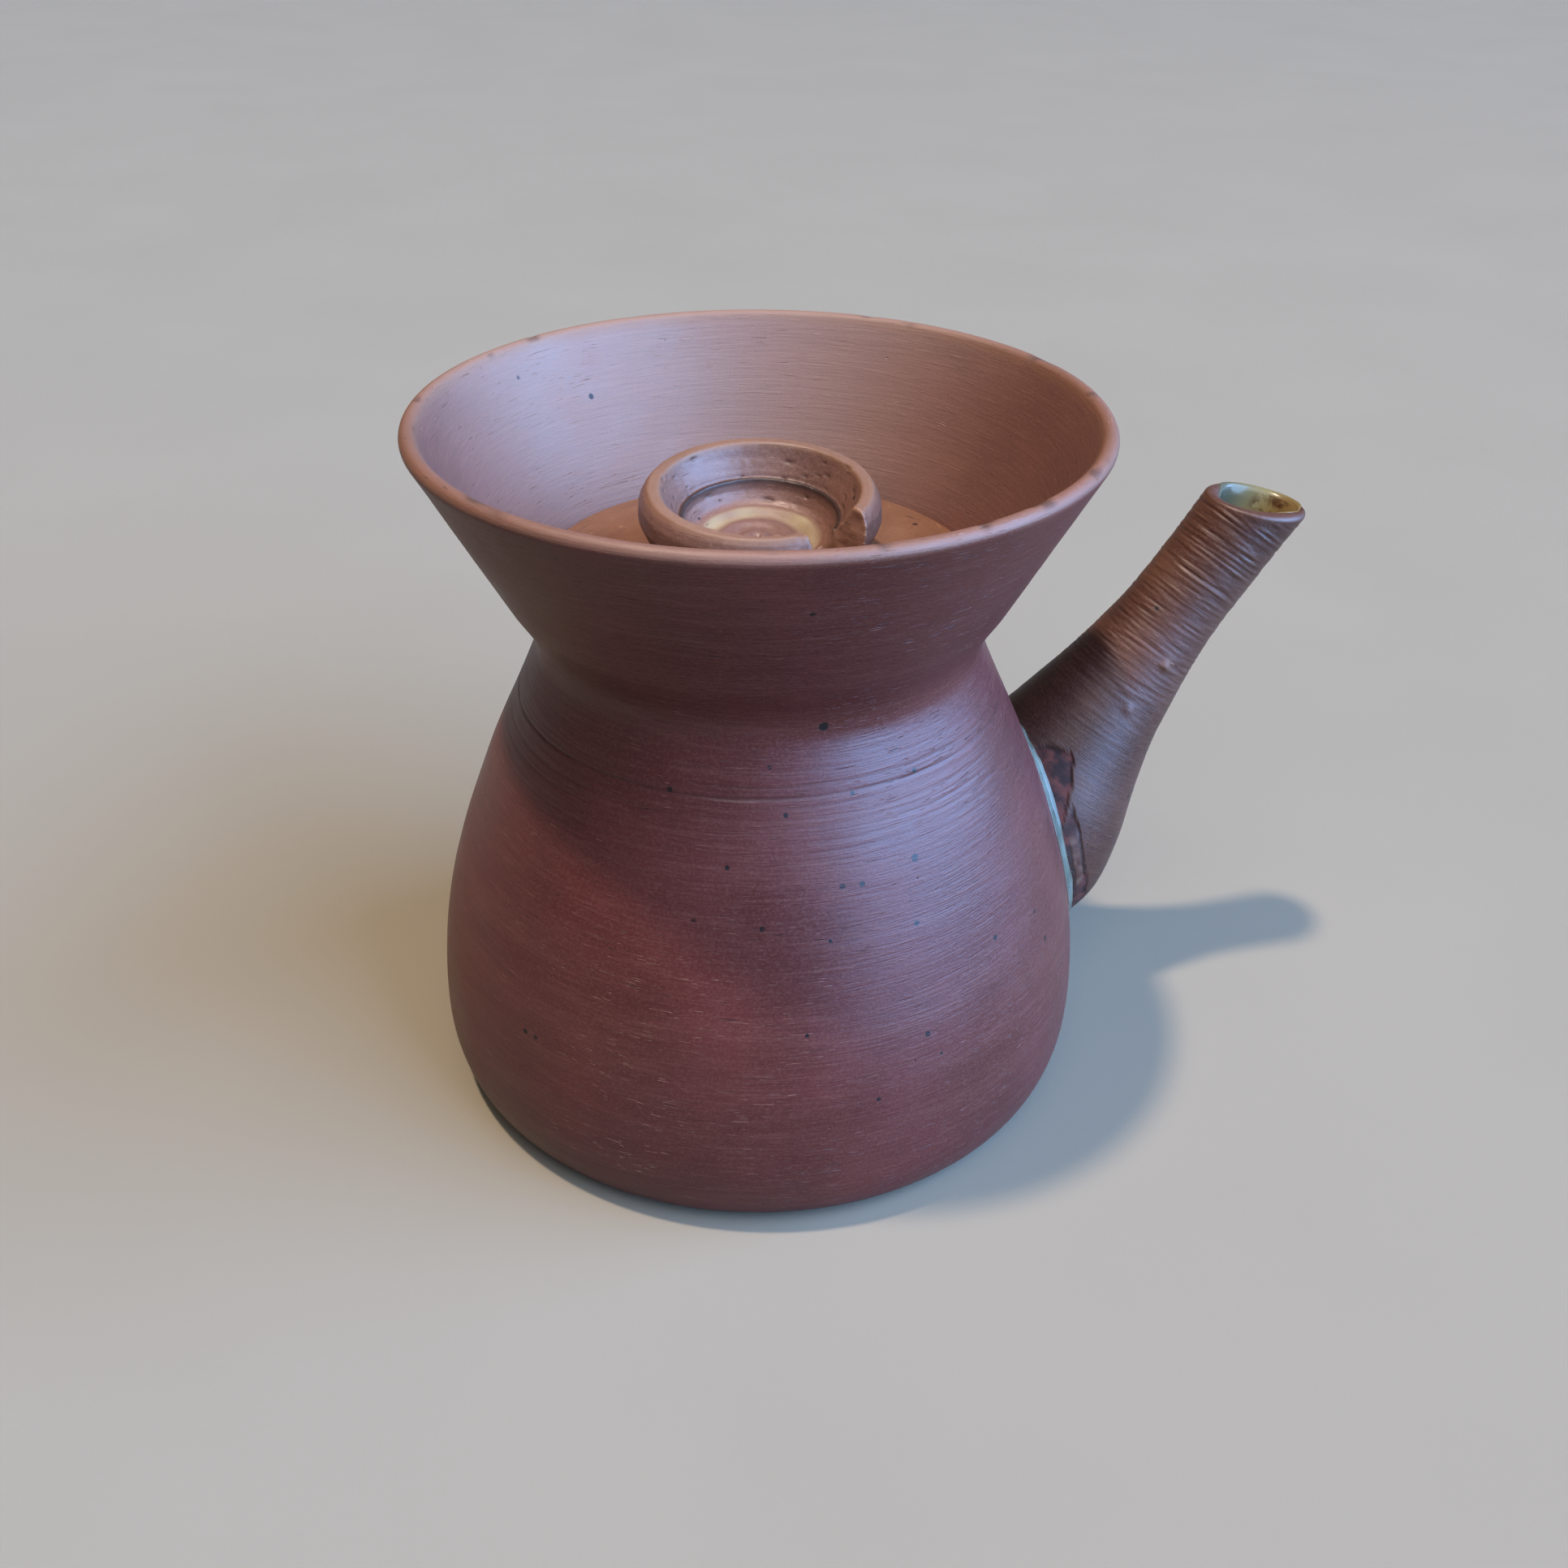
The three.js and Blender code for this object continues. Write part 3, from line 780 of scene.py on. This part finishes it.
def make_seam_glaze():
    """The glaze that fills the corner between pot and spout, and pools under the spout."""
    angle = np.linspace(0, TAU, 320, endpoint=False)
    start = seam(angle)
    line = spout_place(angle, start, spout_radius(start))
    normal, away = seam_directions(line)

    under = fade(-np.cos(angle), 0.35, 0.95)
    ragged = cloud(line, 6, 61) + 0.5 * cloud(line, 2.5, 62)
    width = 2.9 + 3.4 * under + 0.45 * ragged
    side = fade(np.abs(np.sin(angle)), 0.4, 1)
    climb = 1.1 + 0.9 * side + 1.6 * under + 0.3 * ragged
    edge = line + width[:, None] * away
    edge_radius = pot_radius(edge[:, 2])[0]
    flat = np.hypot(edge[:, 0], edge[:, 1])
    edge[:, :2] *= (edge_radius / flat)[:, None]
    top = spout_place(angle, start + climb, spout_radius(start + climb))
    outward = top - spout_place(angle, start + climb, spout_radius(start + climb) - 1)

    rows = [edge - 0.2 * normal, edge + 0.05 * normal + 0.1 * away, edge + 0.22 * normal]
    corner_point = line + 0.25 * normal + 0.25 * outward
    for t in np.linspace(0.06, 0.94, 14):
        first = (1 - t) ** 2 * (edge + 0.26 * normal)
        last = t**2 * (top + 0.16 * outward)
        rows.append(first + 2 * t * (1 - t) * corner_point + last)
    rows += [top + 0.1 * outward, top - 0.3 * outward, line - 0.5 * normal - 0.3 * outward]
    rows = np.array(rows)
    thin = np.zeros(rows.shape[:2])
    thin[:3] = 0.55
    thin[-4:-2] = 0.35
    glaze_piece = grid_mesh("spout_seam_glaze_bead", rows, closed=True, paints={"thin": thin})
    material = glaze("celadon glaze", celadon_tone, 0.16, 0.12, 0.08, 0.22)
    finish_piece(glaze_piece, material, "pot", "spout_seam_glaze", 70)


# ---- the lid ----


def lid_clay():
    return clay("lid clay", "533527", "694732", "937358", 0.48, 0.7).material


def make_lid_plate(material):
    edge = PLATE_RADIUS - 0.15
    underside = [(0, PLATE_LOW), (18, PLATE_LOW), (35.5, PLATE_LOW)]
    side = smooth_line([(36.2, PLATE_LOW), (edge, PLATE_LOW + 2.6), (edge, PLATE_HIGH - 1.7)])
    top = [(edge - 0.25, PLATE_HIGH - 1.25), (34, PLATE_HIGH - 0.75)]
    top = smooth_line([*top, (26, PLATE_HIGH - 0.2), (19, PLATE_HIGH)])
    outline = np.vstack([underside, side, top])
    outline = respaced(outline, lambda p: 0.45 if p[1] > PLATE_LOW + 0.01 else 3)
    rows, normals = turned(np.vstack([outline, [(9, PLATE_HIGH), (0, PLATE_HIGH)]]), 240)
    radius = np.hypot(rows[..., 0], rows[..., 1])
    spread = np.stack([rows[..., 0] / radius.clip(1) * 4, rows[..., 1] / radius.clip(1) * 4, radius], axis=-1)
    rings = 0.06 * cloud(spread, (2, 2, 1.6), 71) + 0.05 * cloud(rows, 9, 72)
    rings *= fade(radius, 17, 22) * fade(rows[..., 2], PLATE_LOW + 0.2, PLATE_LOW + 1)
    plate = grid_mesh("lid_plate_clay", rows + normals * rings[..., None])
    finish_piece(plate, material, "lid", "lid_plate")


def make_lid_flange(material):
    inner = FLANGE_RADIUS - FLANGE_WALL
    top = PLATE_LOW + 0.05
    points = [(inner + 0.4, FLANGE_LOW), (FLANGE_RADIUS - 1.2, FLANGE_LOW)]
    points += [(FLANGE_RADIUS - 0.2, FLANGE_LOW + 0.9), (FLANGE_RADIUS - 0.05, FLANGE_LOW + 3)]
    points += [(FLANGE_RADIUS, top), (inner - 0.6, top), (inner, top - 1.2)]
    points += [(inner, FLANGE_LOW + 0.6), (inner + 0.4, FLANGE_LOW)]
    rows, normals = turned(respaced(np.array(points), lambda p: 0.5)[:-1], 200)
    ripple = 0.05 * cloud(rows, (20, 20, 1.5), 75) * fade(top - rows[..., 2], 0.2, 1)
    flange = grid_mesh("lid_flange_clay", rows + normals * ripple[..., None], closed=True)
    finish_piece(flange, material, "lid", "lid_flange")


def knob_profile():
    """The knob as it was turned, before it was leaned and notched."""
    foot = [(0, KNOB_FOOT - 3), (17.4, KNOB_FOOT - 3), (17.6, KNOB_FOOT + 2.9)]
    side = [(19.3, KNOB_FOOT + 6.6), (20.2, KNOB_FOOT + 8.8), (19.95, KNOB_TOP - 2.3)]
    rim = [(19.3, KNOB_TOP - 1), (18.6, KNOB_TOP - 0.1), (18.4, KNOB_TOP), (16.8, KNOB_TOP)]
    rim += [(16.55, KNOB_TOP - 0.25), (16.2, KNOB_TOP - 0.9)]
    wall_inside = [(15.2, KNOB_TOP - 2.7), (14, KNOB_TOP - 4.5)]
    step = [(13.75, KNOB_TOP - 5.1), (13.4, KNOB_TOP - 5.3)]
    step += [(13.15, KNOB_TOP - 4.95), (12.85, KNOB_TOP - 5.2)]
    cup = [(12.5, KNOB_FLOOR + 2.6), (11.4, KNOB_FLOOR + 1.1), (10.3, KNOB_FLOOR + 0.45)]
    cup += [(9, KNOB_FLOOR + 0.25), (7, KNOB_FLOOR - 0.1), (4, KNOB_FLOOR), (0, KNOB_FLOOR)]
    return np.array(foot + side + rim + wall_inside + step + cup)


def knob_frame():
    """The turn and the foot of the leaned knob."""
    lean = Matrix.Rotation(LEAN_ANGLE, 3, "Z") @ Matrix.Rotation(KNOB_LEAN, 3, "Y")
    lean = lean @ Matrix.Rotation(-LEAN_ANGLE, 3, "Z")
    return np.array(lean), np.array([0, 0, KNOB_FOOT])


def notch_side(across, rise):
    """How far the notch's side is from its middle line: one side opens out as it rises."""
    return np.where(across > 0, NOTCH_WIDTH / 2 - 1 + 0.2 * rise, NOTCH_WIDTH / 2 - 0.5)


def notch_cutter():
    """The finger-wide channel through the knob's wall, with rough sides."""
    middle, half_length = 30, 20
    angle = np.linspace(0, TAU, 96, endpoint=False)
    square = np.maximum(np.abs(np.cos(angle)), np.abs(np.sin(angle)))
    along = middle + half_length * np.clip(np.cos(angle) / square, -1, 1)
    across = np.clip(np.sin(angle) / square, -1, 1)
    rings = []
    for rise in np.arange(0, 16, 0.8):
        ring = np.stack([along, across * notch_side(across, rise), 0 * along + rise], axis=1)
        ring[:, 1] += 0.25 * cloud(ring, 2.5, 81) * np.sign(across)
        rings.append(ring)
    bottom = np.broadcast_to([middle, 0, 0], ring.shape)
    top = np.broadcast_to([middle, 0, rise], ring.shape)
    rows = np.array([bottom, *rings, top])
    turn = np.array(Matrix.Rotation(NOTCH_ANGLE, 3, "Z"))
    return grid_mesh("notch_cutter", rows @ turn.T + np.array([0, 0, NOTCH_FLOOR]))


def make_lid_knob():
    lean, foot = knob_frame()
    rows, _ = turned(respaced(knob_profile(), lambda p: 0.3), 300)
    knob = grid_mesh("lid_knob_clay", rows)
    cut(knob, notch_cutter())
    spots = (vertices(knob) - foot) @ lean.T + foot
    spots[:, 2] = np.maximum(spots[:, 2], KNOB_FOOT - 0.05)
    move_vertices(knob, spots)
    apply_modifier(knob, "REMESH", mode="VOXEL", voxel_size=0.24 * MM)
    apply_modifier(knob, "SMOOTH", factor=0.5, iterations=2)
    spots = vertices(knob)
    relief, paints = knob_surface((spots - foot) @ lean + foot)
    move_vertices(knob, spots + vertex_normals(knob) * relief[:, None])
    for name, values in paints.items():
        add_paint(knob.data, name, values)
    finish_piece(knob, knob_clay(), "lid", "lid_knob", 180)


def knob_pits(upright):
    """How deep points are in the pits scattered over the cup's wall, drawn out round the knob."""
    pits = np.zeros(len(upright))
    rng = np.random.default_rng(93)
    for _ in range(60):
        turn, rise = rng.uniform(0, TAU), rng.uniform(KNOB_FLOOR + 1, KNOB_TOP)
        size = rng.uniform(0.15, 0.42)
        wall_radius = np.interp(rise, [KNOB_FLOOR, KNOB_FLOOR + 3, KNOB_TOP], [10.5, 12.8, 16.6])
        stretch = upright - np.array([wall_radius * math.cos(turn), wall_radius * math.sin(turn), rise])
        tangent = np.array([-math.sin(turn), math.cos(turn), 0])
        stretch = stretch - 0.55 * (stretch @ tangent)[:, None] * tangent
        pits = np.maximum(pits, np.exp(-((np.linalg.norm(stretch, axis=1) / size) ** 2)))
    return pits


def knob_surface(upright):
    """How far the knob's surface stands out, and its paints, at points of the knob set upright."""
    radius = np.hypot(upright[:, 0], upright[:, 1])
    angle = np.arctan2(upright[:, 1], upright[:, 0])
    degrees, height = np.degrees(angle), upright[:, 2]
    above_plate = fade(height, KNOB_FOOT + 0.4, KNOB_FOOT + 1.5)
    pits = knob_pits(upright)
    inside_floor = fade(-radius, -11, -9.5) * fade(-height, -KNOB_FLOOR - 2, -KNOB_FLOOR - 1)
    spiral = 0.28 * np.sin(TAU * radius / 4.2 - angle + 0.8) * inside_floor
    chipped = fade(degrees, -128, -112) * fade(-degrees, 82, 86)
    chipped *= fade(height, KNOB_TOP - 2, KNOB_TOP - 0.8) * fade(-radius, -18.2, -17.2)
    notch = fade(radius, 10.5, 12) * fade(-np.abs(angle - NOTCH_ANGLE), -0.52, -0.42)
    across = radius * np.sin(angle - NOTCH_ANGLE)
    past_side = notch_side(across, height - KNOB_FLOOR) - np.abs(across)
    step = fade(-np.abs(radius - 13.1), -0.8, -0.1) * fade(height, KNOB_TOP - 6.4, KNOB_TOP - 5.4)
    step *= fade(-height, -KNOB_TOP + 3, -KNOB_TOP + 4)
    # A pale yellowish ring on the cup's floor.
    pale_ring = inside_floor * fade(-np.abs(radius - 8.6), -2.4, -0.6)

    relief = 0.05 * cloud(upright, (9, 9, 0.9), 91) + 0.03 * cloud(upright, 0.9, 92)
    relief += spiral - 0.22 * pits - chipped * (0.22 + 0.2 * cloud(upright, 1.2, 96))
    relief += notch * (0.09 * cloud(upright, 1.6, 97) + 0.05 * cloud(upright, 0.8, 98))
    paints = {
        "worn": 0.4 * fade(height, KNOB_TOP - 1.1, KNOB_TOP - 0.3),
        # Painted shade in the pits and in the groove where the inner slope meets the bowl.
        "painted_shade": np.clip(0.45 * pits + 0.9 * step, 0, 0.85),
        "pale_ring": pale_ring * (0.4 + 0.3 * cloud(upright, (3, 3, 3), 95)),
        # Painted lamplight: the notch's cut faces made lighter and orange.
        "notch_lamplight": 0.35 * notch * fade(past_side, -0.5, 0),
    }
    return relief * above_plate, paints


def knob_clay():
    """Lighter clay, with a pale yellowish ring on the cup's floor, and the notch's cut faces painted lighter
    as painted lamplight.
    """
    f = clay("knob clay", "523931", "68493e", "8d7466", 0.44, 0.45)
    tone = f.fed("Base Color")
    # The pale yellowish ring on the cup's floor, made rougher below.
    tone = f.mix(f.paint("pale_ring"), tone, colour("8f8260"))
    # Painted lamplight on the notch's cut faces.
    tone = f.mix(f.paint("notch_lamplight"), tone, colour("8c6751"))
    f.feed(f.shader.inputs["Base Color"], tone)
    rougher = f.combine("MULTIPLY", f.paint("pale_ring"), 0.4)
    f.feed(f.shader.inputs["Roughness"], f.combine("ADD", f.fed("Roughness"), rougher))
    return f.material


# ---- the studio ----


def make_floor():
    bpy.ops.mesh.primitive_plane_add(size=FLOOR_WIDTH)
    floor = bpy.context.object
    floor.name = "floor"
    f = Finish("floor")
    fine = f.noise(f.stretched(f.place, 90, 90), 3)
    f.feed(f.shader.inputs["Base Color"], f.mix(fine, colour("767064"), colour("7b7569")))
    f.shader.inputs["Roughness"].default_value = 0.75
    f.shader.inputs["Specular IOR Level"].default_value = 0.15
    floor.data.materials.append(f.material)


def area_light(name, toward, distance, size, watts, tint):
    """A rectangular light of a width and a height at a distance from the pot's middle, facing it."""
    light = bpy.data.lights.new(name, "AREA")
    light.shape = "RECTANGLE"
    light.size, light.size_y = size
    light.energy, light.color = watts, tint
    lamp = bpy.data.objects.new(name, light)
    direction = Vector(toward).normalized()
    lamp.location = LIGHTS_AIM + distance * direction
    lamp.rotation_euler = direction.to_track_quat("Z", "Y").to_euler()
    bpy.context.scene.collection.objects.link(lamp)


def sun_light(name, toward, width, strength, tint):
    """A light from far away, of a width in degrees, that falls evenly on the whole floor."""
    light = bpy.data.lights.new(name, "SUN")
    light.energy, light.angle, light.color = strength, math.radians(width), tint
    lamp = bpy.data.objects.new(name, light)
    lamp.rotation_euler = Vector(toward).to_track_quat("Z", "Y").to_euler()
    bpy.context.scene.collection.objects.link(lamp)


def make_lights():
    sun_light("warm lamp overhead", (-0.2, 0.05, 0.98), 3.5, 3.5, (1.0, 0.82, 0.66))
    sun_light("cool window at the right", (0.77, -0.55, 0.37), 74, 14.6, (0.31, 0.55, 1.0))
    area_light("soft box above the front", (-0.08, -0.5, 0.86), 2.2, (2.0, 1.7), 30, (1.0, 0.95, 0.93))
    world = bpy.data.worlds.new("room")
    world.use_nodes = True
    world.node_tree.nodes["Background"].inputs["Color"].default_value = (1.0, 0.97, 0.94, 1)
    world.node_tree.nodes["Background"].inputs["Strength"].default_value = 0.17
    bpy.context.scene.world = world
    view = bpy.context.scene.view_settings
    view.view_transform, view.look = "Standard", "Medium High Contrast"


def make_camera():
    """Looks down at the pot from in front, a little to the left of the spout's side."""
    camera = bpy.data.cameras.new("camera")
    camera.sensor_width, camera.lens, camera.clip_start = CAMERA_SENSOR, CAMERA_LENS, 0.01
    viewer = bpy.data.objects.new("camera", camera)
    heading, dip, roll = math.radians(18.03), math.radians(32.28), math.radians(0.63)
    turn = Matrix.Rotation(-heading, 4, "Z") @ Matrix.Rotation(math.pi / 2 - dip, 4, "X")
    turn = turn @ Matrix.Rotation(roll, 4, "Z")
    viewer.matrix_world = Matrix.Translation(CAMERA_PLACE) @ turn
    bpy.context.scene.collection.objects.link(viewer)
    bpy.context.scene.camera = viewer


make_camera()
make_floor()
make_lights()
make_pot()
make_body_lining()
make_spout()
make_spout_lining()
make_seam_glaze()
lid_material = lid_clay()
make_lid_plate(lid_material)
make_lid_flange(lid_material)
make_lid_knob()
